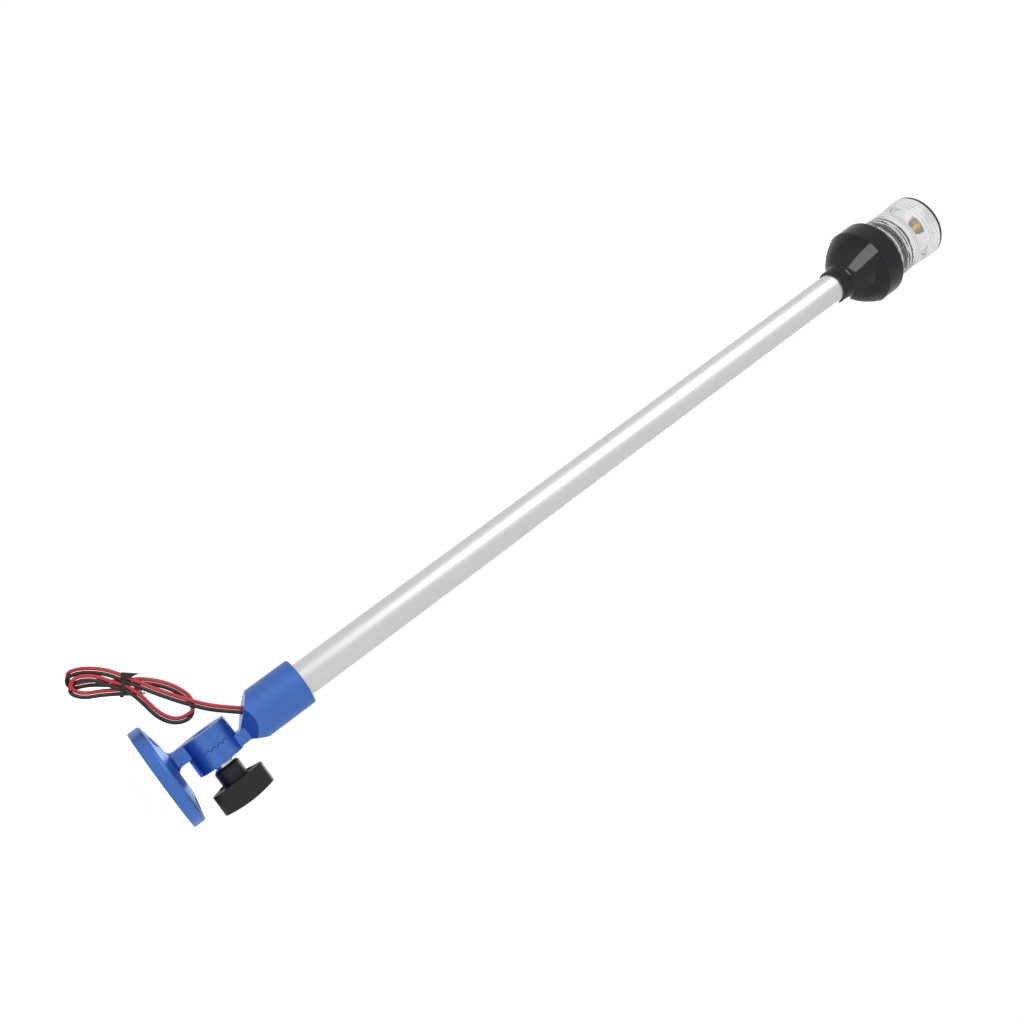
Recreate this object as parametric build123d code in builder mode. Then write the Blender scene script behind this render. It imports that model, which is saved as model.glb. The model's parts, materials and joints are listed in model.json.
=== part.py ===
"""All-round navigation light on a fold-down pole.

A round flange carries a toothed tilt joint.  A clamp knob on the joint's axis squeezes two
toothed discs together, and a tube stands in a socket on the outer disc, with the lamp on top.

Millimetres.  +Z runs up the pole, and +X runs along the tilt axis towards the clamp knob.
The origin is the centre of the flange's mounting face.
"""

import os
from math import atan, cos, pi, radians, sin, sqrt, tan

from build123d import *

# ---------------------------------------------------------------- driving dimensions

# flange and tilt joint
flange_radius = 39.4
flange_rim = 9.0
flange_crown = 12.9
crown_radius = 20.0
pole_x = 2.0  # the pole's axis and the tooth plane, from the flange's centre
pivot_height = 40.0
disc_radius = 18.0
inner_disc_thickness = 13.0  # along the tilt axis, the half on the flange
outer_disc_thickness = 12.3  # the half on the socket
arm_thickness = 11.3
lug_half_width = 9.5
mount_hole_circle = 60.0
mount_hole_radius = 2.75
mount_hole_count = 3
countersink_radius = 5.35
screw_seat_height = 10.6  # the rim of the countersinks

# radial teeth
tooth_count = 24
tooth_height = 2.0
tooth_gap = 0.06
rim_relief = 0.25  # how far the ends of the teeth are eased, on each half
rim_relief_width = 0.5
spring_recess_radius = 8.4
spring_recess_depth = 4.0

# clamp
stud_radius = 4.0
running_gap = 0.06
nut_flats = 13.0
nut_length = 6.4
nut_sink = 1.2  # how deep the nut sits in its pocket
flat_washer_length = 1.5
lock_washer_length = 1.7
hub_radius = 9.7
hub_length = 12.2
head_length = 15.5
head_dome = 2.7
lobe_distance = 13.0
lobe_radius = 8.7
knob_angle = -4.0  # the way the knob is turned when the clamp is tight

# socket and tube
socket_radius = 18.2
socket_top = 115.0
bore_floor = 86.0
tube_radius = 12.7
tube_wall = 1.25
fit_gap = 0.02

# lamp
neck_bottom = 673.0
neck_lip_radius = 14.6
neck_radius = 15.8
neck_top = 683.2
shoulder_bulge = 1.8  # how far the shoulder stands out from a straight cone
skirt_bottom = 706.5
skirt_top = 724.4
skirt_radius = 34.3
board_height = 716.0
board_thickness = 1.6
board_radius = 25.0
lens_radius = 28.3
lens_top = 784.0
lens_wall = 2.2
lens_centre = 758.0  # the middle of the smooth belt
led_height = 772.0

# wires
wire_radius = 1.35
conductor_radius = 0.75
bare_length = 2.5
wire_pitch = 2.88  # between the centres of the two wires of the pair

os.makedirs("parts", exist_ok=True)


# ---------------------------------------------------------------- helpers


def finish(part, name):
    """Label a piece and write it to its own file."""
    part.label = name
    export_step(part, f"parts/{name}.step")


def across(x):
    """A sketch plane square to the tilt axis at the given x, with its centre on that axis.

    Its first direction is +Y and its second is +Z.
    """
    return Plane(origin=(x, 0, pivot_height), x_dir=(0, 1, 0), z_dir=(1, 0, 0))


def around_pole(height):
    """A horizontal sketch plane with its centre on the pole's axis."""
    return Plane(origin=(pole_x, 0, height))


pole_axis = Axis((pole_x, 0, 0), (0, 0, 1))
tilt_axis = Axis((0, 0, pivot_height), (1, 0, 0))
pole_section = Plane(origin=(pole_x, 0, 0), x_dir=(1, 0, 0), z_dir=(0, -1, 0))

# The valley of a tooth and its two crests all pass through one point on the tilt axis, so the
# flanks are flat.  A valley falls at this angle from the tooth plane.
valley_fall = atan(tooth_height / 2 / disc_radius)
flank_ratio = tan(pi / tooth_count / 2) / sin(valley_fall)
groove_depth = 1.3 * tooth_height


def tooth_grooves(apex_x, facing, first_angle, inner_end):
    """The V grooves that leave radial teeth on a disc whose toothed face looks along `facing` x."""
    grooves = []
    for index in range(tooth_count):
        angle = radians(first_angle) + 2 * pi * index / tooth_count
        outward = Vector(0, cos(angle), sin(angle))
        sideways = Vector(0, -sin(angle), cos(angle))
        valley = outward * cos(valley_fall) - Vector(facing, 0, 0) * sin(valley_fall)
        apex = Vector(apex_x, 0, pivot_height)
        section = Plane(origin=apex + valley * inner_end, x_dir=sideways, z_dir=valley)
        upward = groove_depth if section.y_dir.X * facing > 0 else -groove_depth
        with BuildPart() as groove:
            with BuildSketch(section):
                with BuildLine():
                    Polyline(
                        (0, 0),
                        (groove_depth * flank_ratio, upward),
                        (-groove_depth * flank_ratio, upward),
                        close=True,
                    )
                make_face()
            extrude(amount=disc_radius + 2.0 - inner_end)
        grooves.append(groove.part)
    return grooves


# ---------------------------------------------------------------- flange and tilt joint

joint_inner_x = pole_x - inner_disc_thickness
joint_outer_x = pole_x + tooth_gap + outer_disc_thickness
half_tooth = tooth_height / 2
half_pitch_angle = 180 / tooth_count
groove_start = spring_recess_radius - 1.0
relief_start = disc_radius - rim_relief_width
base_grooves = [
    *tooth_grooves(pole_x, 1, 0, groove_start),
    *tooth_grooves(pole_x - rim_relief, 1, 0, relief_start),
]
pole_grooves = [
    *tooth_grooves(pole_x + tooth_gap, -1, half_pitch_angle, groove_start),
    *tooth_grooves(pole_x + tooth_gap + rim_relief, -1, half_pitch_angle, relief_start),
]

with BuildPart() as base_flange:
    # a flat disc with a shallow cone on top
    with BuildSketch(Plane.XZ):
        with BuildLine():
            Polyline(
                (0, 0),
                (flange_radius, 0),
                (flange_radius, flange_rim),
                (crown_radius, flange_crown),
                (0, flange_crown),
                close=True,
            )
        make_face()
    revolve(axis=Axis.Z)
    rim_edges = base_flange.edges().filter_by(GeomType.CIRCLE).sort_by(SortBy.RADIUS)[-2:]
    lower_rim, upper_rim = rim_edges.sort_by(Axis.Z)
    fillet(lower_rim, radius=0.8)
    fillet(upper_rim, radius=2.4)
    # the arm that carries the inner half of the tilt joint
    with BuildSketch(across(joint_inner_x)):
        arm_height = pivot_height - flange_crown / 2
        with Locations((0, -arm_height / 2)):
            Rectangle(2 * lug_half_width, arm_height)
    extrude(amount=arm_thickness)
    arm_corners = base_flange.edges().filter_by(Axis.Z)
    fillet(arm_corners.filter_by(lambda edge: edge.length > flange_crown), radius=1.5)
    arm_foot = base_flange.edges().filter_by(
        lambda edge: abs(edge.center().Z - flange_crown) < 0.01 and edge.length < flange_radius
    )
    fillet(arm_foot, radius=4.5)
    with BuildSketch(across(joint_inner_x)):
        Circle(disc_radius)
    extrude(amount=inner_disc_thickness + half_tooth)
    # recess for the release spring, bore for the stud, and pocket for the nut
    with BuildSketch(across(pole_x - spring_recess_depth)):
        Circle(spring_recess_radius)
    extrude(amount=spring_recess_depth + tooth_height, mode=Mode.SUBTRACT)
    with BuildSketch(across(joint_inner_x)):
        Circle(stud_radius + 0.3)
    extrude(amount=inner_disc_thickness, mode=Mode.SUBTRACT)
    with BuildSketch(across(joint_inner_x)):
        RegularPolygon((nut_flats / 2) / cos(pi / 6) + 0.05, 6)
    extrude(amount=nut_sink + nut_length + 0.1, mode=Mode.SUBTRACT)
    add(base_grooves, mode=Mode.SUBTRACT)
    # countersunk holes for the mounting screws
    with Locations(Plane.XY.offset(screw_seat_height)):
        with PolarLocations(mount_hole_circle / 2, mount_hole_count, start_angle=90):
            CounterSinkHole(
                radius=mount_hole_radius,
                counter_sink_radius=countersink_radius,
                depth=screw_seat_height,
                counter_sink_angle=90,
            )

finish(base_flange.part, "base_flange")

with BuildPart() as captive_nut:
    with BuildSketch(across(joint_inner_x + nut_sink)):
        RegularPolygon((nut_flats / 2) / cos(pi / 6), 6)
        Circle(stud_radius + running_gap, mode=Mode.SUBTRACT)
    extrude(amount=nut_length)
    nut_corners = captive_nut.faces().sort_by(Axis.X)[0].edges().filter_by(GeomType.CIRCLE)
    chamfer(nut_corners, length=0.6)

finish(captive_nut.part, "captive_nut")

spring_wire_radius = 0.6
spring_radius = spring_recess_radius - spring_wire_radius - 0.5
spring_span = 2 * spring_recess_depth - 2 * spring_wire_radius - 0.3
spring_start = Plane(
    origin=(pole_x - spring_recess_depth + spring_wire_radius + 0.1, 0, pivot_height),
    x_dir=(0, 1, 0),
    z_dir=(1, 0, 0),
)
spring_turns = 3
spring_helix = spring_start.location * Helix(spring_span / spring_turns, spring_span, spring_radius)
with BuildPart() as release_spring:
    with BuildLine():
        add(spring_helix)
    with BuildSketch(Plane(origin=spring_helix @ 0, z_dir=spring_helix % 0)):
        Circle(spring_wire_radius)
    sweep()

finish(release_spring.part, "release_spring")

# ---------------------------------------------------------------- clamp knob and washers

flat_washer_x = joint_outer_x
lock_washer_x = flat_washer_x + flat_washer_length
hub_x = lock_washer_x + lock_washer_length
head_x = hub_x + hub_length
stud_head_length = 5.3
stud_head_x = head_x + 1.0
flat_washer_radius = 8.4
lock_washer_radius = 7.2
washer_bore = stud_radius + 0.1
stud_end_x = joint_inner_x + nut_sink + 0.6

with BuildPart() as flat_washer:
    with BuildSketch(across(flat_washer_x)):
        Circle(flat_washer_radius)
        Circle(washer_bore, mode=Mode.SUBTRACT)
    extrude(amount=flat_washer_length)
    chamfer(flat_washer.faces().sort_by(Axis.X)[-1].outer_wire().edges(), length=0.25)

finish(flat_washer.part, "flat_washer")

with BuildPart() as lock_washer:
    # a split ring, cut on the slant so that its two ends stand off each other
    with BuildSketch(across(lock_washer_x)):
        Circle(lock_washer_radius)
        Circle(washer_bore, mode=Mode.SUBTRACT)
    extrude(amount=lock_washer_length)
    with BuildSketch(Plane(origin=(lock_washer_x, 0, pivot_height + 5.6), z_dir=(0, 0, 1))):
        with Locations((lock_washer_length / 2, 0)):
            Rectangle(4 * lock_washer_length, 0.8, rotation=40)
    extrude(amount=3.0, both=True, mode=Mode.SUBTRACT)

finish(lock_washer.part, "lock_washer")

with BuildPart() as clamp_stud:
    with BuildSketch(across(stud_end_x)):
        Circle(stud_radius)
    extrude(amount=stud_head_x - stud_end_x)
    chamfer(clamp_stud.faces().sort_by(Axis.X)[0].edges(), length=0.8)
    with BuildSketch(across(stud_head_x)):
        RegularPolygon((nut_flats / 2) / cos(pi / 6), 6)
    extrude(amount=stud_head_length)

finish(clamp_stud.part, "clamp_stud")

head_recess_radius = 13.5
head_recess_depth = 1.0
dome_radius = (lobe_distance + lobe_radius) ** 2 / (2 * head_dome) + head_dome / 2
with BuildPart() as clamp_knob:
    # a three-lobed head with one flat side towards -Y
    with BuildSketch(across(head_x)):
        with PolarLocations(lobe_distance, 3, start_angle=knob_angle):
            Circle(lobe_radius)
        make_hull()
    extrude(amount=head_length + head_dome)
    fillet(clamp_knob.faces().sort_by(Axis.X)[0].edges(), radius=0.8)
    # the domed end
    dome_centre_x = head_x + head_length + head_dome - dome_radius
    with BuildSketch(Plane.XZ):
        with BuildLine():
            dome_edge = dome_radius * 0.5
            dome_edge_x = dome_centre_x + sqrt(dome_radius**2 - dome_edge**2)
            far_x = head_x + head_length + 3 * head_dome
            RadiusArc(
                (dome_centre_x + dome_radius, pivot_height),
                (dome_edge_x, pivot_height + dome_edge),
                -dome_radius,
            )
            Line((dome_edge_x, pivot_height + dome_edge), (far_x, pivot_height + dome_edge))
            Line((far_x, pivot_height + dome_edge), (far_x, pivot_height))
            Line((far_x, pivot_height), (dome_centre_x + dome_radius, pivot_height))
        make_face()
    revolve(axis=tilt_axis, mode=Mode.SUBTRACT)
    rim = clamp_knob.faces().sort_by(Axis.X)[-1].edges()
    fillet(rim, radius=0.9)
    # a shallow recess under the head, and the mark of an ejector pin on the flat side
    with BuildSketch(across(head_x)):
        Circle(head_recess_radius)
    extrude(amount=head_recess_depth, mode=Mode.SUBTRACT)
    flat_side = clamp_knob.faces().filter_by(GeomType.PLANE).sort_by(Axis.Y)[0]
    with BuildSketch(Plane(flat_side)):
        with Locations((1.8, 9.2)):
            Circle(0.9)
    extrude(amount=-0.3, mode=Mode.SUBTRACT)
    # the hub
    with BuildSketch(across(hub_x)):
        Circle(hub_radius)
    extrude(amount=hub_length + head_recess_depth)
    chamfer(clamp_knob.faces().sort_by(Axis.X)[0].edges(), length=1.8)
    # the stud is moulded in
    add(clamp_stud.part, mode=Mode.SUBTRACT)

finish(clamp_knob.part, "clamp_knob")

# ---------------------------------------------------------------- socket and tube

chisel_tip_x = pole_x + 2.0
chisel_tip_height = 61.0
inner_shoulder = 79.6  # where the flat on the wire side leaves the round body
outer_shoulder = 75.7
outer_toe_x = pole_x + 11.3
outer_toe_height = 64.1
front_shoulder = 73.0  # top of the sloping facets on the front and back
socket_bottom = 55.0
flat_top = Vector(pole_x - socket_radius, 0, inner_shoulder)
flat_bottom = Vector(chisel_tip_x, 0, chisel_tip_height)
exit_point = (flat_top + flat_bottom) / 2
exit_slope = (flat_bottom - flat_top).cross(Vector(0, 1, 0)).normalized() * -1
exit_radius = 4.1
set_screw_heights = (95.0, 107.0)
set_screw_radius = 2.5

with BuildPart() as pole_socket:
    with BuildSketch(around_pole(socket_bottom)):
        Circle(socket_radius)
    extrude(amount=socket_top - socket_bottom)
    chamfer(pole_socket.edges().sort_by(Axis.Z)[-1], length=0.7)
    # the chisel shape seen along Y: flats on the wire side and on the knob side
    with BuildSketch(Plane.XZ):
        with BuildLine():
            wide = 2 * socket_radius
            Polyline(
                (pole_x - wide, socket_top),
                (pole_x - wide, inner_shoulder + wide - socket_radius),
                (pole_x - socket_radius, inner_shoulder),
                (chisel_tip_x, chisel_tip_height),
                (outer_toe_x, outer_toe_height),
                (pole_x + socket_radius, outer_shoulder),
                (pole_x + wide, outer_shoulder + wide - socket_radius),
                (pole_x + wide, socket_top),
                close=True,
            )
        make_face()
    extrude(amount=wide, both=True, mode=Mode.INTERSECT)
    # the chisel shape seen along X: sloping facets on the front and the back
    with BuildSketch(Plane(origin=(0, 0, 0), x_dir=(0, 1, 0), z_dir=(1, 0, 0))):
        with BuildLine():
            drop = socket_radius - lug_half_width + 1.5
            Polyline(
                (-wide, socket_top),
                (-wide, front_shoulder + wide - socket_radius),
                (-socket_radius, front_shoulder),
                (-socket_radius + drop, front_shoulder - drop),
                (-socket_radius + drop, socket_bottom),
                (socket_radius - drop, socket_bottom),
                (socket_radius - drop, front_shoulder - drop),
                (socket_radius, front_shoulder),
                (wide, front_shoulder + wide - socket_radius),
                (wide, socket_top),
                close=True,
            )
        make_face()
    extrude(amount=wide, both=True, mode=Mode.INTERSECT)
    # the lug down to the outer half of the tilt joint
    lug_x = chisel_tip_x
    lug_thickness = outer_toe_x - chisel_tip_x
    with BuildSketch(across(lug_x)):
        lug_height = outer_toe_height - pivot_height + 1.5
        with Locations((0, lug_height / 2)):
            Rectangle(2 * lug_half_width, lug_height)
    extrude(amount=lug_thickness)
    with BuildSketch(across(pole_x - half_tooth + tooth_gap)):
        Circle(disc_radius)
    extrude(amount=outer_disc_thickness + half_tooth)
    with BuildSketch(across(pole_x - half_tooth)):
        Circle(spring_recess_radius)
    extrude(amount=half_tooth + spring_recess_depth, mode=Mode.SUBTRACT)
    with BuildSketch(across(pole_x)):
        Circle(stud_radius + running_gap)
    extrude(amount=2 * outer_disc_thickness, mode=Mode.SUBTRACT)
    add(pole_grooves, mode=Mode.SUBTRACT)
    # the bore for the tube, and the wire hole from its floor to the flat
    with BuildSketch(around_pole(bore_floor)):
        Circle(tube_radius + fit_gap)
    extrude(amount=socket_top - bore_floor + 1, mode=Mode.SUBTRACT)
    with BuildSketch(Plane(origin=exit_point + exit_slope * 4, z_dir=exit_slope * -1)):
        Circle(exit_radius)
    extrude(amount=26, mode=Mode.SUBTRACT)
    # threaded holes for the set screws in the back
    for height in set_screw_heights:
        with BuildSketch(Plane(origin=(pole_x, 0, height), x_dir=(1, 0, 0), z_dir=(0, 1, 0))):
            Circle(set_screw_radius)
        extrude(amount=2 * socket_radius, mode=Mode.SUBTRACT)

finish(pole_socket.part, "pole_socket")

with BuildPart() as socket_set_screws:
    for height in set_screw_heights:
        tip = Plane(origin=(pole_x, tube_radius, height), x_dir=(1, 0, 0), z_dir=(0, 1, 0))
        with BuildSketch(tip):
            Circle(set_screw_radius)
        extrude(amount=5.0)
        with BuildSketch(tip.offset(2.6)):
            RegularPolygon(1.44, 6)
        extrude(amount=3.0, mode=Mode.SUBTRACT)

finish(socket_set_screws.part, "socket_set_screws")

tube_top = neck_top + 8.4
neck_screw_height = 678.4
neck_screw_radius = 2.0
with BuildPart() as pole_tube:
    with BuildSketch(around_pole(bore_floor)):
        Circle(tube_radius)
        Circle(tube_radius - tube_wall, mode=Mode.SUBTRACT)
    extrude(amount=tube_top - bore_floor)
    with BuildSketch(
        Plane(origin=(pole_x, 0, neck_screw_height), x_dir=(1, 0, 0), z_dir=(0, 1, 0))
    ):
        Circle(neck_screw_radius)
    extrude(amount=2 * tube_radius, mode=Mode.SUBTRACT)

finish(pole_tube.part, "pole_tube")

with BuildPart() as wire_grommet:
    # a sleeve that ends flush with the flat
    with BuildSketch(Plane(origin=exit_point, z_dir=exit_slope * -1)):
        Circle(exit_radius)
        Circle(exit_radius - 1.15, mode=Mode.SUBTRACT)
    extrude(amount=6.0)

finish(wire_grommet.part, "wire_grommet")

# ---------------------------------------------------------------- lamp housing

tube_shoulder = tube_top + 0.1
passage_radius = 9.0
cavity_floor = 709.0
seat_height = 713.0
seat_radius = lens_radius + 0.9
cavity_radius = 26.2
boss_circle = 20.0
boss_count = 3
screw_head_radius = 3.6
screw_seat = Plane(
    origin=(pole_x, neck_lip_radius, neck_screw_height), x_dir=(1, 0, 0), z_dir=(0, 1, 0)
)

shoulder_chord = Vector(skirt_radius - neck_radius, skirt_bottom - neck_top)
shoulder_middle = Vector(neck_radius, neck_top) + shoulder_chord / 2
shoulder_out = Vector(shoulder_chord.Y, -shoulder_chord.X).normalized() * shoulder_bulge

with BuildPart() as lamp_housing:
    with BuildSketch(pole_section):
        with BuildLine():
            Polyline(
                (tube_radius + fit_gap, tube_shoulder),
                (tube_radius + fit_gap, neck_bottom),
                (neck_lip_radius, neck_bottom),
                (neck_radius, neck_top),
            )
            ThreePointArc(
                (neck_radius, neck_top),
                shoulder_middle + shoulder_out,
                (skirt_radius, skirt_bottom),
            )
            Polyline(
                (skirt_radius, skirt_bottom),
                (skirt_radius, skirt_top),
                (seat_radius, skirt_top),
                (seat_radius, seat_height),
                (cavity_radius, seat_height),
                (cavity_radius, cavity_floor),
                (passage_radius, cavity_floor - 13.0),
                (passage_radius, tube_shoulder),
                (tube_radius + fit_gap, tube_shoulder),
            )
        make_face()
    revolve(axis=pole_axis)

    def ring_edge(radius, height):
        """The circular edge of the housing at this radius and height."""
        circles = lamp_housing.edges().filter_by(GeomType.CIRCLE)
        return circles.sort_by(
            lambda edge: abs(edge.radius - radius) + abs(edge.arc_center.Z - height)
        )[0]

    fillet(ring_edge(neck_radius, neck_top), radius=2.5)
    fillet(ring_edge(skirt_radius, skirt_bottom), radius=0.4)
    fillet(ring_edge(skirt_radius, skirt_top), radius=1.0)
    fillet(ring_edge(neck_lip_radius, neck_bottom), radius=0.5)
    # bosses that carry the driver board
    with BuildSketch(around_pole(cavity_floor - 6.0)):
        with PolarLocations(boss_circle, boss_count, start_angle=30):
            Circle(3.0)
    extrude(amount=board_height - cavity_floor + 6.0)
    with BuildSketch(around_pole(board_height)):
        with PolarLocations(boss_circle, boss_count, start_angle=30):
            Circle(1.25)
    extrude(amount=-6.0, mode=Mode.SUBTRACT)
    # the hole for the neck screw, in the back, with a flat seat for its head
    with BuildSketch(
        Plane(origin=(pole_x, 0, neck_screw_height), x_dir=(1, 0, 0), z_dir=(0, 1, 0))
    ):
        Circle(neck_screw_radius)
    extrude(amount=2 * neck_radius, mode=Mode.SUBTRACT)
    with BuildSketch(screw_seat):
        Circle(screw_head_radius + 0.2)
    extrude(amount=neck_radius, mode=Mode.SUBTRACT)

finish(lamp_housing.part, "lamp_housing")

with BuildPart() as housing_screw:
    with BuildSketch(screw_seat):
        Circle(screw_head_radius)
    extrude(amount=2.2)
    fillet(housing_screw.faces().sort_by(Axis.Y)[-1].edges(), radius=1.2)
    with BuildSketch(screw_seat):
        Circle(neck_screw_radius - 0.02)
    extrude(amount=-5.0)
    with BuildSketch(screw_seat.offset(0.8)):
        Rectangle(4.0, 0.8)
        Rectangle(0.8, 4.0)
    extrude(amount=3.0, mode=Mode.SUBTRACT)

finish(housing_screw.part, "housing_screw")

# ---------------------------------------------------------------- lens

seal_height = 719.0
seal_radius = 0.9
lens_inner = lens_radius - lens_wall
upper_prism_count = 4
lower_prism_count = 6
prism_pitch = 3.8
prism_depth = 1.9
bull_half_height = 7.6
bull_depth = 2.6
roof_thickness = 3.0


def prism_points(direction, count):
    """Inner outline of one group of prism rings, from the middle outwards."""
    points = []
    for index in range(count):
        start = lens_centre + direction * (bull_half_height + index * prism_pitch)
        end = start + direction * prism_pitch
        points.append((lens_inner - prism_depth, start))
        points.append((lens_inner, end))
    return points


with BuildPart() as lens:
    with BuildSketch(pole_section):
        with BuildLine():
            upper = prism_points(1, upper_prism_count)
            lower = prism_points(-1, lower_prism_count)
            waist = 1.0
            waist_height = lens_centre - 2.0
            outer = Spline(
                (lens_radius, skirt_top + 4),
                (lens_radius - waist, waist_height),
                (lens_radius, lens_top - 5),
                tangents=((0, 1), (0, 1)),
            )
            Polyline((lens_radius, lens_top - 5), (lens_radius, lens_top), (0, lens_top))
            Polyline((0, lens_top), (0, lens_top - roof_thickness))
            roof_corner = (lens_inner, lens_top - roof_thickness)
            Line((0, lens_top - roof_thickness), roof_corner)
            Polyline(roof_corner, *reversed(upper))
            RadiusArc(upper[0], lower[0], -(bull_half_height**2 / (2 * bull_depth) + bull_depth / 2))
            Polyline(*lower, (lens_inner, seat_height), (lens_radius, seat_height))
            Line((lens_radius, seat_height), (lens_radius, skirt_top + 4))
        make_face()
    revolve(axis=pole_axis)
    top_rim = lens.edges().filter_by(GeomType.CIRCLE).sort_by(Axis.Z)[-1]
    fillet(top_rim, radius=2.6)
    # the groove for the seal
    with BuildSketch(pole_section):
        with Locations((lens_radius, seal_height)):
            Rectangle(2 * seal_radius, 2 * seal_radius)
    revolve(axis=pole_axis, mode=Mode.SUBTRACT)

finish(lens.part, "lens")

with BuildPart() as lens_seal:
    with BuildSketch(pole_section):
        with Locations((seat_radius - seal_radius, seal_height)):
            Ellipse(seal_radius, seal_radius)
            Rectangle(2 * seal_radius, 2 * seal_radius, mode=Mode.INTERSECT)
    revolve(axis=pole_axis)

finish(lens_seal.part, "lens_seal")

# ---------------------------------------------------------------- driver board and LEDs

carrier_half = 5.0
carrier_foot = board_height + board_thickness
carrier_top = led_height + 4.0
led_board_width = 8.4
led_board_thickness = 1.0
led_board_bottom = carrier_foot + 8.0
wire_hole_x = 13.0

with BuildPart() as driver_board:
    with BuildSketch(around_pole(board_height)):
        Circle(board_radius)
        with PolarLocations(boss_circle, boss_count, start_angle=30):
            Circle(1.7, mode=Mode.SUBTRACT)
        with Locations((-wire_hole_x, 0)):
            Rectangle(7.2, 3.4, mode=Mode.SUBTRACT)
    extrude(amount=board_thickness)

finish(driver_board.part, "driver_board")

with BuildPart() as driver_components:
    # choke, capacitors and controller on the top side of the board
    with BuildSketch(around_pole(carrier_foot)):
        with Locations((12.5, -10.5)):
            RectangleRounded(7.0, 7.0, 1.0)
    extrude(amount=4.0)
    with BuildSketch(around_pole(carrier_foot)):
        with Locations((13.0, 0.5), (5.0, 15.5)):
            Circle(3.15)
    extrude(amount=6.0)
    with BuildSketch(around_pole(carrier_foot)):
        with Locations((-12.0, -12.5)):
            Rectangle(5.0, 4.0)
        with Locations((0, -15.5), (-6.5, 16.0), (-11.0, 11.0)):
            Rectangle(3.2, 1.6)
    extrude(amount=1.2)

finish(driver_components.part, "driver_components")

with BuildPart() as led_carrier:
    with BuildSketch(around_pole(carrier_foot)):
        RectangleRounded(18.0, 14.0, 3.0)
    extrude(amount=2.0)
    with BuildSketch(around_pole(carrier_foot)):
        Rectangle(2 * carrier_half, 2 * carrier_half)
    extrude(amount=carrier_top - carrier_foot)
    chamfer(led_carrier.faces().sort_by(Axis.Z)[-1].edges(), length=0.8)

finish(led_carrier.part, "led_carrier")


def carrier_side(quarter, height):
    """A plane on one of the carrier's four sides, centred at the given height."""
    angle = radians(90 * quarter)
    outward = Vector(cos(angle), sin(angle), 0)
    return Plane(
        origin=Vector(pole_x, 0, height) + outward * carrier_half,
        x_dir=(-sin(angle), cos(angle), 0),
        z_dir=outward,
    )


led_board_height = carrier_top - 1.5 - led_board_bottom
with BuildPart() as led_boards:
    for quarter in range(4):
        with BuildSketch(carrier_side(quarter, led_board_bottom + led_board_height / 2)):
            Rectangle(led_board_width, led_board_height)
        extrude(amount=led_board_thickness)

finish(led_boards.part, "led_boards")

with BuildPart() as led_emitters:
    for quarter in range(4):
        seat = carrier_side(quarter, led_height).offset(led_board_thickness)
        with BuildSketch(seat):
            RectangleRounded(3.5, 3.5, 0.3)
        extrude(amount=0.9)
        with BuildSketch(seat.offset(0.9)):
            Circle(1.35)
        extrude(amount=0.8, taper=25)

finish(led_emitters.part, "led_emitters")

with BuildPart() as board_screws:
    with BuildSketch(around_pole(carrier_foot)):
        with PolarLocations(boss_circle, boss_count, start_angle=30):
            Circle(2.6)
    extrude(amount=1.6)
    fillet(board_screws.edges().group_by(Axis.Z)[-1], radius=0.7)
    with BuildSketch(around_pole(carrier_foot)):
        with PolarLocations(boss_circle, boss_count, start_angle=30):
            Circle(1.24)
    extrude(amount=-(board_thickness + 5.0))

finish(board_screws.part, "board_screws")

# ---------------------------------------------------------------- wires

# The pair comes down the tube, leaves by the hole in the socket's flat, and is wound into a
# flat hank: two loops beyond the tie and one before it.  A place in the hank is measured from
# the middle of the tie: along the hank, away from the socket; up across it; and back along Y.
tie_point = Vector(-68.1, 0, 17.1)
hank_along = Vector(-0.648, 0, -0.761).normalized()
hank_up = Vector(hank_along.Z, 0, -hank_along.X)
layer = 1.45  # how far the front and the back passes stand from the middle of the tie


def hank_points(*places):
    """Points of the hank, each given as (along, up, back)."""
    return [
        tie_point + hank_along * along + hank_up * up + Vector(0, back, 0)
        for along, up, back in places
    ]


run_and_upper_loop = hank_points(
    (-58, -11.6, -1.4),
    (-46, -9.4, -3.2),
    (-33, -6.2, -3.0),
    (-19, -2.0, -2.2),
    (-6, 2.4, -layer),
    (0, 4.4, -layer),
    (10.5, 7.5, -0.8),
    (20.5, 8.4, 0.2),
    (30, 7.2, 1.8),
    (36.2, 2.9, 3.0),
    (34, -1.8, 3.2),
    (26, -1.2, 3.0),
    (13, 0.4, 2.0),
)
right_loop = hank_points(
    (0, 1.35, layer),
    (-8, 3.0, 1.5),
    (-19, 3.0, 1.3),
    (-29, 1.2, 1.4),
    (-39, -3.0, 1.6),
    (-46, -9.0, 1.7),
    (-47.3, -15.5, 1.5),
    (-43, -20.3, 0.9),
    (-36, -22.0, 0.2),
    (-28, -20.0, -0.4),
    (-19, -13.9, -1.0),
    (-9, -5.9, -layer),
)
lower_loop = hank_points(
    (0, -1.55, -layer),
    (8, 0.4, -1.8),
    (17, 2.9, -2.6),
    (25.5, 3.0, -2.8),
    (32, -0.4, -2.8),
    (33, -4.8, -2.4),
    (28, -8.0, -1.6),
    (16, -6.9, 0.5),
    (6, -5.3, layer),
    (0, -4.6, layer),
    (-6, -4.2, layer),
    (-12.7, -3.5, layer),
)
hank_curve = Spline(
    exit_point + exit_slope,
    *run_and_upper_loop,
    *right_loop,
    *lower_loop,
    tangents=(exit_slope, hank_along * -1),
    tangent_scalars=(1.0, 1.0),
)
right_loop_start = hank_curve.param_at_point(right_loop[0])
hank_steps = 8 * (len(run_and_upper_loop) + len(right_loop) + len(lower_loop))

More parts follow.
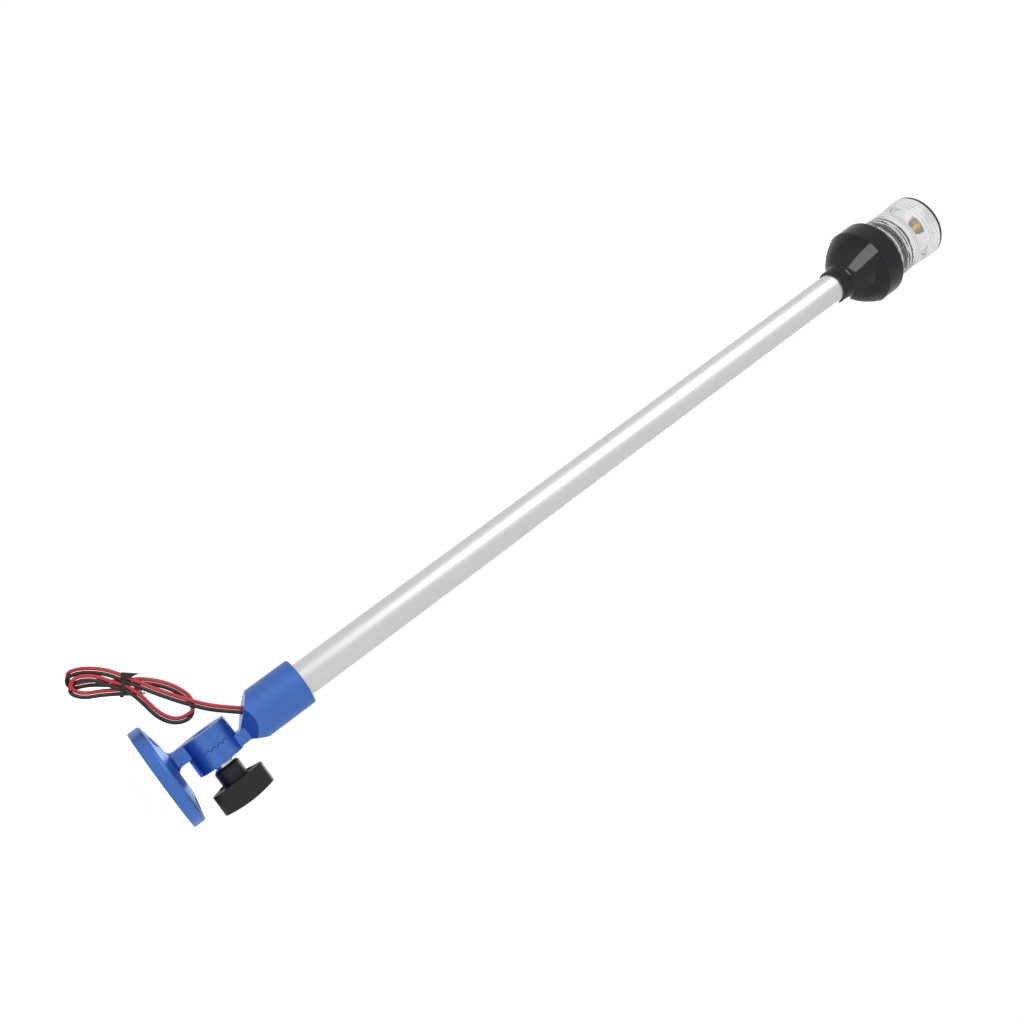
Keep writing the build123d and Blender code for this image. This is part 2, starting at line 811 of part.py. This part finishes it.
# Inside the lamp, the tube and the socket: each corner of the pair, and the radius of its bend.
inside_corners = [
    (Vector(pole_x - wire_hole_x, 0, carrier_foot + 0.4), 0.0),
    (Vector(pole_x - wire_hole_x, 0, 709.0), 8.0),
    (Vector(pole_x, 0, 691.0), 20.0),
    (Vector(pole_x, 0, 140.0), 60.0),
    (Vector(pole_x + 4.6, 0, 96.0), 30.0),
    (exit_point - exit_slope * 17.0, 12.0),
]


def side_of(direction):
    """The direction beside a path, seen along Y."""
    return direction.cross(Vector(0, 1, 0)).normalized()


def towards_red(fraction):
    """The direction from the middle of the pair to the red wire, in the hank.

    The red wire keeps above the black one, so the pair rolls over at the end of each loop.
    """
    side = side_of(hank_curve.tangent_at(fraction))
    flat_share = max(-1.0, min(1.0, 1.25 * hank_up.dot(side)))
    lean = 1 if fraction < right_loop_start else -1
    return side * flat_share + Vector(0, lean * sqrt(1 - flat_share**2), 0)


def wire_corners(sign):
    """The corners of one wire's path, red for a sign of 1 and black for -1.

    Each comes with the radius of its bend, or with None for the widest bend that fits.
    """
    distance = sign * wire_pitch / 2
    points = [point for point, radius in inside_corners] + [exit_point + exit_slope]
    corners = []
    for index, (point, radius) in enumerate(inside_corners):
        first = max(index, 1)
        before = side_of(points[first] - points[first - 1])
        after = side_of(points[index + 1] - point)
        mitre = (before + after) / (1 + before.dot(after))
        bend_side = 1 if (points[index + 1] - point).dot(before) > 0 else -1
        corners.append((point - mitre * distance, radius + bend_side * distance))
    for step in range(hank_steps + 1):
        fraction = step / hank_steps
        point = hank_curve.position_at(fraction)
        corners.append((point + towards_red(fraction) * distance, None))
    return corners


def rounded_path(corners):
    """A wire of straight stretches and arcs through the corners."""
    edges = []
    reached = corners[0][0]
    for index in range(1, len(corners) - 1):
        corner, radius = corners[index]
        arriving = corner - corners[index - 1][0]
        leaving = corners[index + 1][0] - corner
        half_turn = radians(arriving.get_angle(leaving)) / 2
        if half_turn < 0.001:
            continue
        if radius is None:
            radius = 0.49 * min(arriving.length, leaving.length) / tan(half_turn)
        before = arriving.normalized()
        after = leaving.normalized()
        bend_start = corner - before * (radius * tan(half_turn))
        bend_end = corner + after * (radius * tan(half_turn))
        inward = (after - before).normalized()
        middle = corner + inward * (radius / cos(half_turn) - radius)
        edges.append(Edge.make_line(reached, bend_start))
        edges.append(Edge.make_three_point_arc(bend_start, middle, bend_end))
        reached = bend_end
    edges.append(Edge.make_line(reached, corners[-1][0]))
    return Wire(edges)


red_path = rounded_path(wire_corners(1))
with BuildPart() as red_wire:
    with BuildLine():
        add(red_path)
    with BuildSketch(Plane(origin=red_path @ 0, z_dir=(0, 0, -1))):
        Circle(wire_radius)
    sweep()

finish(red_wire.part, "red_wire")

black_path = rounded_path(wire_corners(-1))
with BuildPart() as black_wire:
    with BuildLine():
        add(black_path)
    with BuildSketch(Plane(origin=black_path @ 0, z_dir=(0, 0, -1))):
        Circle(wire_radius)
    sweep()

finish(black_wire.part, "black_wire")

with BuildPart() as wire_conductors:
    for path in (red_path, black_path):
        with BuildSketch(Plane(origin=path @ 1, z_dir=path % 1)):
            Circle(conductor_radius)
        extrude(amount=bare_length)

finish(wire_conductors.part, "wire_conductors")

# a flat band round all the passes, with its head at the top of the front and a pointed tail
band_width = 2.6
band_thickness = 0.7
band_half_height = 7.75
band_half_depth = 3.05
band_front = band_half_depth + band_thickness
head_height = 3.8
head_depth = 1.8
tail_length = 9.6
head_top = band_half_height + band_thickness
tie_section = Plane(origin=tie_point - hank_along * (band_width / 2), x_dir=hank_up, z_dir=hank_along)
hank_plane = Plane(origin=tie_point, x_dir=hank_along, z_dir=(0, 1, 0))
with BuildPart() as cable_tie:
    with BuildSketch(tie_section):
        RectangleRounded(
            2 * (band_half_height + band_thickness), 2 * (band_half_depth + band_thickness), 1.9
        )
        RectangleRounded(2 * band_half_height, 2 * band_half_depth, 1.2, mode=Mode.SUBTRACT)
    extrude(amount=band_width)
    with BuildSketch(hank_plane.offset(-band_front - head_depth)):
        with Locations((0, head_top - head_height / 2)):
            Rectangle(4.2, head_height)
    extrude(amount=head_depth + band_thickness)
    with BuildSketch(hank_plane.offset(-band_front - head_depth / 2)):
        with BuildLine():
            Polyline(
                (0, head_top),
                (-tail_length, head_top),
                (-tail_length / 3, head_top - head_height),
                (0, head_top - head_height),
                close=True,
            )
        make_face()
    extrude(amount=head_depth / 2)

finish(cable_tie.part, "cable_tie")
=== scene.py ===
"""Looks, light and camera for the all-round navigation light on its fold-down pole."""

import json
from math import pi, radians

import bpy
from mathutils import Matrix, Vector


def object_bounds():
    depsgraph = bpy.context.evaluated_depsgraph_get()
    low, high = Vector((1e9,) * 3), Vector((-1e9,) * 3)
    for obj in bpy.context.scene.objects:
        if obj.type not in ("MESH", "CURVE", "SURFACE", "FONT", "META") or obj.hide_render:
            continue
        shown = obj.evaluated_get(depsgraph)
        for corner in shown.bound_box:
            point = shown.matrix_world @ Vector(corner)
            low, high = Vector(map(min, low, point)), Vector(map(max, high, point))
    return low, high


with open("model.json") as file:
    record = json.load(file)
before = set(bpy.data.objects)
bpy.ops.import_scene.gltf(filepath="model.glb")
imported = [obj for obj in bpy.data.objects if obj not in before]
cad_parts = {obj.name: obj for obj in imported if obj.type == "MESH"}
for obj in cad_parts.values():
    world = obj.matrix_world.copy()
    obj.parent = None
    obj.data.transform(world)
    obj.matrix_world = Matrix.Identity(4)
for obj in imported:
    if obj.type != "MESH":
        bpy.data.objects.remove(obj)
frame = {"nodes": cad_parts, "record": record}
cad_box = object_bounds()

MM = 0.001

# ---------------------------------------------------------------- node helpers


class Tree:
    """Short ways to add nodes to one node tree."""

    def __init__(self, node_tree):
        self.nodes = node_tree.nodes
        self.links = node_tree.links

    def add(self, kind, **settings):
        """A node of this kind, with these properties set."""
        node = self.nodes.new(kind)
        for key, value in settings.items():
            setattr(node, key, value)
        return node

    def set(self, node, values):
        """Set inputs of a node: a value is a number, a colour or another node's output."""
        for key, value in values.items():
            if isinstance(value, bpy.types.NodeSocket):
                self.links.new(value, node.inputs[key])
            else:
                node.inputs[key].default_value = value
        return node

    def place(self, stretch=(1, 1, 1)):
        """Object coordinates in metres, scaled on each axis."""
        coordinates = self.add("ShaderNodeTexCoord")
        mapping = self.add("ShaderNodeMapping")
        self.set(mapping, {"Vector": coordinates.outputs["Object"], "Scale": stretch})
        return mapping.outputs["Vector"]

    def noise(self, size, detail=3.0, stretch=(1, 1, 1), roughness=0.5):
        """Noise whose features are about `size` metres across."""
        node = self.add("ShaderNodeTexNoise")
        self.set(node, {"Vector": self.place(stretch), "Scale": 1 / size})
        self.set(node, {"Detail": detail, "Roughness": roughness})
        return node.outputs["Fac"]

    def spread(self, source, low, high, start=0.3, end=0.7):
        """Map a 0 to 1 source onto the range from low to high."""
        node = self.add("ShaderNodeMapRange")
        values = {"Value": source, "From Min": start, "From Max": end}
        self.set(node, {**values, "To Min": low, "To Max": high})
        return node.outputs["Result"]

    def blend(self, factor, first, second):
        """A colour between two colours."""
        node = self.add("ShaderNodeMix", data_type="RGBA")
        self.set(node, {"Factor": factor})
        # the node has an A, a B and a result for each data type, so the colour ones go by number
        colour_a, colour_b, colour_result = 6, 7, 2
        node.inputs[colour_a].default_value = (*first, 1)
        node.inputs[colour_b].default_value = (*second, 1)
        return node.outputs[colour_result]

    def bump(self, height, distance, strength=1.0, normal=None):
        """A normal shaken by a height, where a height of 1 stands `distance` metres proud."""
        node = self.add("ShaderNodeBump")
        self.set(node, {"Height": height, "Distance": distance, "Strength": strength})
        if normal is not None:
            self.set(node, {"Normal": normal})
        return node.outputs["Normal"]

    def soft_edges(self, radius):
        """A normal that rounds sharp edges by a small radius."""
        node = self.add("ShaderNodeBevel", samples=4)
        self.set(node, {"Radius": radius})
        return node.outputs["Normal"]

    def principled(self, **values):
        """A Principled shader; an underscore in a name stands for a space."""
        node = self.add("ShaderNodeBsdfPrincipled")
        named = {key.replace("_", " "): value for key, value in values.items()}
        self.set(node, named)
        return node.outputs["BSDF"]

    def seen_by(self, kind_of_ray, shader, other_shader):
        """The first shader for one kind of ray, such as "Is Camera Ray", and the other for the rest."""
        path = self.add("ShaderNodeLightPath")
        mix = self.add("ShaderNodeMixShader")
        self.links.new(path.outputs[kind_of_ray], mix.inputs[0])
        self.links.new(other_shader, mix.inputs[1])
        self.links.new(shader, mix.inputs[2])
        return mix.outputs["Shader"]

    def background(self, colour, strength):
        """Light of one colour from all round."""
        node = self.add("ShaderNodeBackground")
        self.set(node, {"Color": (*colour, 1), "Strength": strength})
        return node.outputs["Background"]


def material_of(name, shader_of):
    """A material whose surface is what shader_of(tree) returns."""
    material = bpy.data.materials.new(name)
    material.use_nodes = True
    material.node_tree.nodes.clear()
    tree = Tree(material.node_tree)
    output = tree.add("ShaderNodeOutputMaterial")
    tree.set(output, {"Surface": shader_of(tree)})
    return material


# ---------------------------------------------------------------- finishes


def anodised_blue(tree):
    """Dyed anodised aluminium: a satin coat over a fine blasted grain."""
    cloud = tree.noise(14 * MM, detail=2)
    grain = tree.noise(0.16 * MM, detail=2)
    return tree.principled(
        Base_Color=tree.blend(cloud, (0.072, 0.182, 0.55), (0.087, 0.210, 0.615)),
        Metallic=0.93,
        Roughness=tree.spread(cloud, 0.34, 0.40),
        Normal=tree.bump(grain, 0.006 * MM, normal=tree.soft_edges(0.35 * MM)),
        Coat_Weight=0.15,
        Coat_Roughness=0.12,
    )


def stainless(tree):
    """Bright rolled stainless steel with faint scratches."""
    scratches = tree.noise(0.35 * MM, detail=4, stretch=(1, 6, 1))
    return tree.principled(
        Base_Color=(0.74, 0.73, 0.71, 1),
        Metallic=1.0,
        Roughness=tree.spread(scratches, 0.16, 0.26),
        Normal=tree.bump(scratches, 0.003 * MM, normal=tree.soft_edges(0.2 * MM)),
    )


def drawn_tube(tree):
    """Clear anodised tube with faint lines along its length."""
    lines = tree.noise(0.5 * MM, detail=3, stretch=(1, 1, 0.004))
    haze = tree.noise(30 * MM, detail=2, stretch=(1, 1, 0.2))
    return tree.principled(
        Base_Color=tree.blend(haze, (0.80, 0.795, 0.78), (0.85, 0.845, 0.83)),
        Metallic=1.0,
        Roughness=tree.spread(haze, 0.36, 0.42),
        Normal=tree.bump(lines, 0.0015 * MM),
    )


def knob_plastic(tree):
    """Moulded nylon with a fine spark-eroded texture."""
    texture = tree.noise(0.35 * MM, detail=4, roughness=0.6)
    cloud = tree.noise(9 * MM, detail=2)
    return tree.principled(
        Base_Color=tree.blend(cloud, (0.011, 0.011, 0.012), (0.016, 0.016, 0.017)),
        Roughness=tree.spread(texture, 0.36, 0.48),
        Specular_IOR_Level=0.35,
        Normal=tree.bump(texture, 0.03 * MM, normal=tree.soft_edges(0.3 * MM)),
    )


def gloss_housing(tree):
    """Polished black moulding with a very faint ripple."""
    ripple = tree.noise(7 * MM, detail=2)
    return tree.principled(
        Base_Color=(0.006, 0.006, 0.0065, 1),
        Roughness=tree.spread(ripple, 0.05, 0.09),
        Specular_IOR_Level=0.35,
        Normal=tree.bump(ripple, 0.008 * MM),
    )


def rubber(tree):
    """Soft black rubber with a dull bloom."""
    bloom = tree.noise(1.2 * MM, detail=4)
    return tree.principled(
        Base_Color=tree.blend(bloom, (0.020, 0.020, 0.020), (0.034, 0.034, 0.034)),
        Roughness=tree.spread(bloom, 0.55, 0.75),
        Normal=tree.bump(bloom, 0.01 * MM),
    )


def vinyl(first, second):
    """A wire's insulation: extruded vinyl, smooth but a little uneven."""

    def shader(tree):
        wave = tree.noise(2.4 * MM, detail=2)
        return tree.principled(
            Base_Color=tree.blend(wave, first, second),
            Roughness=tree.spread(wave, 0.28, 0.38),
            Normal=tree.bump(wave, 0.02 * MM),
            Coat_Weight=0.2,
            Coat_Roughness=0.2,
        )

    return shader


def tinned_copper(tree):
    """Bare conductor ends."""
    strand = tree.noise(0.3 * MM, detail=1)
    return tree.principled(
        Base_Color=tree.blend(strand, (0.72, 0.55, 0.42), (0.80, 0.74, 0.66)),
        Metallic=1.0,
        Roughness=0.3,
        Normal=tree.bump(strand, 0.05 * MM),
    )


def nylon_tie(tree):
    """Black nylon band with a faint moulding texture."""
    texture = tree.noise(0.5 * MM, detail=2)
    return tree.principled(
        Base_Color=(0.010, 0.010, 0.011, 1),
        Roughness=tree.spread(texture, 0.34, 0.46),
        Normal=tree.bump(texture, 0.008 * MM),
    )


def clear_lens(tree):
    """Clear polycarbonate, which casts only a thin shadow on what is inside it."""
    flow = tree.noise(18 * MM, detail=1)
    glass = tree.principled(
        Base_Color=(0.93, 0.935, 0.93, 1),
        Roughness=0.03,
        IOR=1.585,
        Transmission_Weight=1.0,
        Normal=tree.bump(flow, 0.02 * MM),
    )
    see_through = tree.add("ShaderNodeBsdfTransparent")
    tree.set(see_through, {"Color": (0.86, 0.87, 0.86, 1)})
    return tree.seen_by("Is Shadow Ray", see_through.outputs["BSDF"], glass)


def circuit_board(tree):
    """Green solder mask over a faint copper pattern."""
    copper = tree.noise(3 * MM, detail=1)
    return tree.principled(
        Base_Color=tree.blend(copper, (0.012, 0.11, 0.05), (0.03, 0.19, 0.09)),
        Roughness=0.3,
        Normal=tree.bump(copper, 0.02 * MM),
    )


def component_body(tree):
    """Dark moulded epoxy."""
    speck = tree.noise(0.4 * MM, detail=3)
    return tree.principled(
        Base_Color=tree.blend(speck, (0.03, 0.03, 0.03), (0.05, 0.05, 0.05)),
        Roughness=tree.spread(speck, 0.4, 0.6),
    )


def carrier_metal(tree):
    """Extruded aluminium, anodised dark grey."""
    lines = tree.noise(0.4 * MM, detail=2, stretch=(1, 1, 0.02))
    return tree.principled(
        Base_Color=(0.34, 0.32, 0.30, 1),
        Metallic=1.0,
        Roughness=tree.spread(lines, 0.3, 0.45),
        Normal=tree.bump(lines, 0.01 * MM, normal=tree.soft_edges(0.2 * MM)),
    )


def white_board(tree):
    """Solder mask over tinned copper, which dulls its white to a warm grey."""
    mask = tree.noise(1.5 * MM, detail=2)
    return tree.principled(
        Base_Color=tree.blend(mask, (0.36, 0.33, 0.30), (0.44, 0.41, 0.38)),
        Roughness=0.35,
    )


def phosphor(tree):
    """Yellow phosphor under clear silicone, with a faint painted glow."""
    grain = tree.noise(0.25 * MM, detail=3)
    return tree.principled(
        Base_Color=tree.blend(grain, (0.88, 0.56, 0.16), (0.96, 0.68, 0.26)),
        Roughness=0.25,
        Coat_Weight=0.6,
        # painted glow: a weak orange emission brightens the phosphor
        Emission_Color=(1.0, 0.55, 0.05, 1),
        Emission_Strength=0.08,
    )


finishes = {
    "anodised_blue": anodised_blue,
    "stainless": stainless,
    "knob_black": knob_plastic,
    "tube_aluminium": drawn_tube,
    "grommet_rubber": rubber,
    "wire_red": vinyl((0.50, 0.016, 0.022), (0.60, 0.026, 0.034)),
    "wire_black": vinyl((0.008, 0.008, 0.008), (0.014, 0.014, 0.013)),
    "tinned_copper": tinned_copper,
    "tie_black": nylon_tie,
    "housing_black": gloss_housing,
    "lens_clear": clear_lens,
    "seal_rubber": rubber,
    "board_green": circuit_board,
    "component_black": component_body,
    "carrier_aluminium": carrier_metal,
    "board_white": white_board,
    "led_phosphor": phosphor,
}
materials = {slot: material_of(slot, shader) for slot, shader in finishes.items()}
slot_of = {row["node"]: row["material_slot"] for row in frame["record"]["subparts"]}

for node_name, node in frame["nodes"].items():
    for index in range(len(node.material_slots)):
        node.material_slots[index].material = materials[slot_of[node_name]]

# ---------------------------------------------------------------- floor and light

low, high = cad_box
floor_size = 60.0
bpy.ops.mesh.primitive_plane_add(size=floor_size, location=(0, 0, low.z - 1.5 * MM))
floor = bpy.context.object
floor.name = "floor"


def pale_floor(tree):
    """Plain white floor that melts into the background where the camera sees it."""
    diffuse = tree.principled(Base_Color=(0.9, 0.9, 0.9, 1), Roughness=0.8)
    glow = tree.add("ShaderNodeEmission")
    tree.set(glow, {"Color": (1, 1, 1, 1), "Strength": 0.78})
    both = tree.add("ShaderNodeAddShader")
    tree.links.new(diffuse, both.inputs[0])
    tree.links.new(glow.outputs["Emission"], both.inputs[1])
    return tree.seen_by("Is Camera Ray", both.outputs["Shader"], diffuse)


floor.data.materials.append(material_of("pale_floor", pale_floor))

# The camera sees white, the lens shows a pale grey, and the rest is lit by a soft blue white.
world = bpy.data.worlds.new("studio")
world.use_nodes = True
world.node_tree.nodes.clear()
bpy.context.scene.world = world
studio = Tree(world.node_tree)
backdrop = studio.background((1, 1, 1), 1.05)
behind_glass = studio.background((0.985, 0.99, 1.0), 0.84)
surround = studio.background((0.96, 0.98, 1.0), 0.72)
around_object = studio.seen_by("Is Transmission Ray", behind_glass, surround)
world_output = studio.add("ShaderNodeOutputWorld")
studio.set(world_output, {"Surface": studio.seen_by("Is Camera Ray", backdrop, around_object)})


def softbox(name, place, aim, width, height, power):
    """A rectangular area light that faces a point; it isn't seen by the camera or through glass."""
    data = bpy.data.lights.new(name, "AREA")
    data.shape = "RECTANGLE"
    data.size = width
    data.size_y = height
    data.energy = power
    light = bpy.data.objects.new(name, data)
    bpy.context.scene.collection.objects.link(light)
    light.location = place
    light.rotation_euler = (Vector(aim) - Vector(place)).to_track_quat("-Z", "Y").to_euler()
    light.visible_camera = False
    light.visible_transmission = False
    return light


def light_only(light, obj, link_state="INCLUDE"):
    """Let the light fall only on one object, or with EXCLUDE on all but that one."""
    group = bpy.data.collections.new(light.name + "_lit")
    group.objects.link(obj)
    group.collection_objects[0].light_linking.link_state = link_state
    light.light_linking.receiver_collection = group


middle = (low + high) / 2
housing = frame["nodes"]["lamp_housing"]
key = softbox("key", place=(-0.9, -1.1, 1.1), aim=middle, width=1.3, height=1.3, power=6)
light_only(key, housing, "EXCLUDE")
fill = softbox("fill", place=(1.2, -0.8, 0.5), aim=middle, width=0.9, height=1.2, power=6)
fill.visible_glossy = False
softbox("rim", place=(0.3, 1.3, 1.2), aim=middle, width=1.0, height=0.8, power=10)

# a strip in front of and below the lamp, which leaves a bright wedge on the housing's cone
cone_front = (-5 * MM, -28 * MM, 695 * MM)
strip_place = (-0.215, -0.485, 0.362)
strip = softbox("strip", place=strip_place, aim=cone_front, width=0.36, height=0.60, power=3)
light_only(strip, housing)

# ---------------------------------------------------------------- camera

# The camera stands near the flange's height, a little on the side away from the knob, and
# looks up the pole, turned so that the pole runs up to the right.
pole_axis_x = 2.0 * MM
eye = (pole_axis_x - 75.4 * MM, -868.2 * MM, 21.4 * MM)
heading = radians(4.45)  # from +Y towards +X
tilt = radians(18.79)  # up from the horizon
roll = radians(53.66)
camera_data = bpy.data.cameras.new("camera")
camera_data.angle = radians(46.13)
camera_data.clip_start = 0.01
camera_data.clip_end = 100
camera = bpy.data.objects.new("camera", camera_data)
bpy.context.scene.collection.objects.link(camera)
turn = Matrix.Rotation(-heading, 4, "Z") @ Matrix.Rotation(pi / 2 + tilt, 4, "X")
camera.matrix_world = Matrix.Translation(eye) @ turn @ Matrix.Rotation(roll, 4, "Z")
bpy.context.scene.camera = camera

scene = bpy.context.scene
scene.view_settings.view_transform = "Standard"
scene.view_settings.look = "None"
scene.cycles.max_bounces = 16
scene.cycles.transmission_bounces = 14
scene.cycles.use_denoising = True
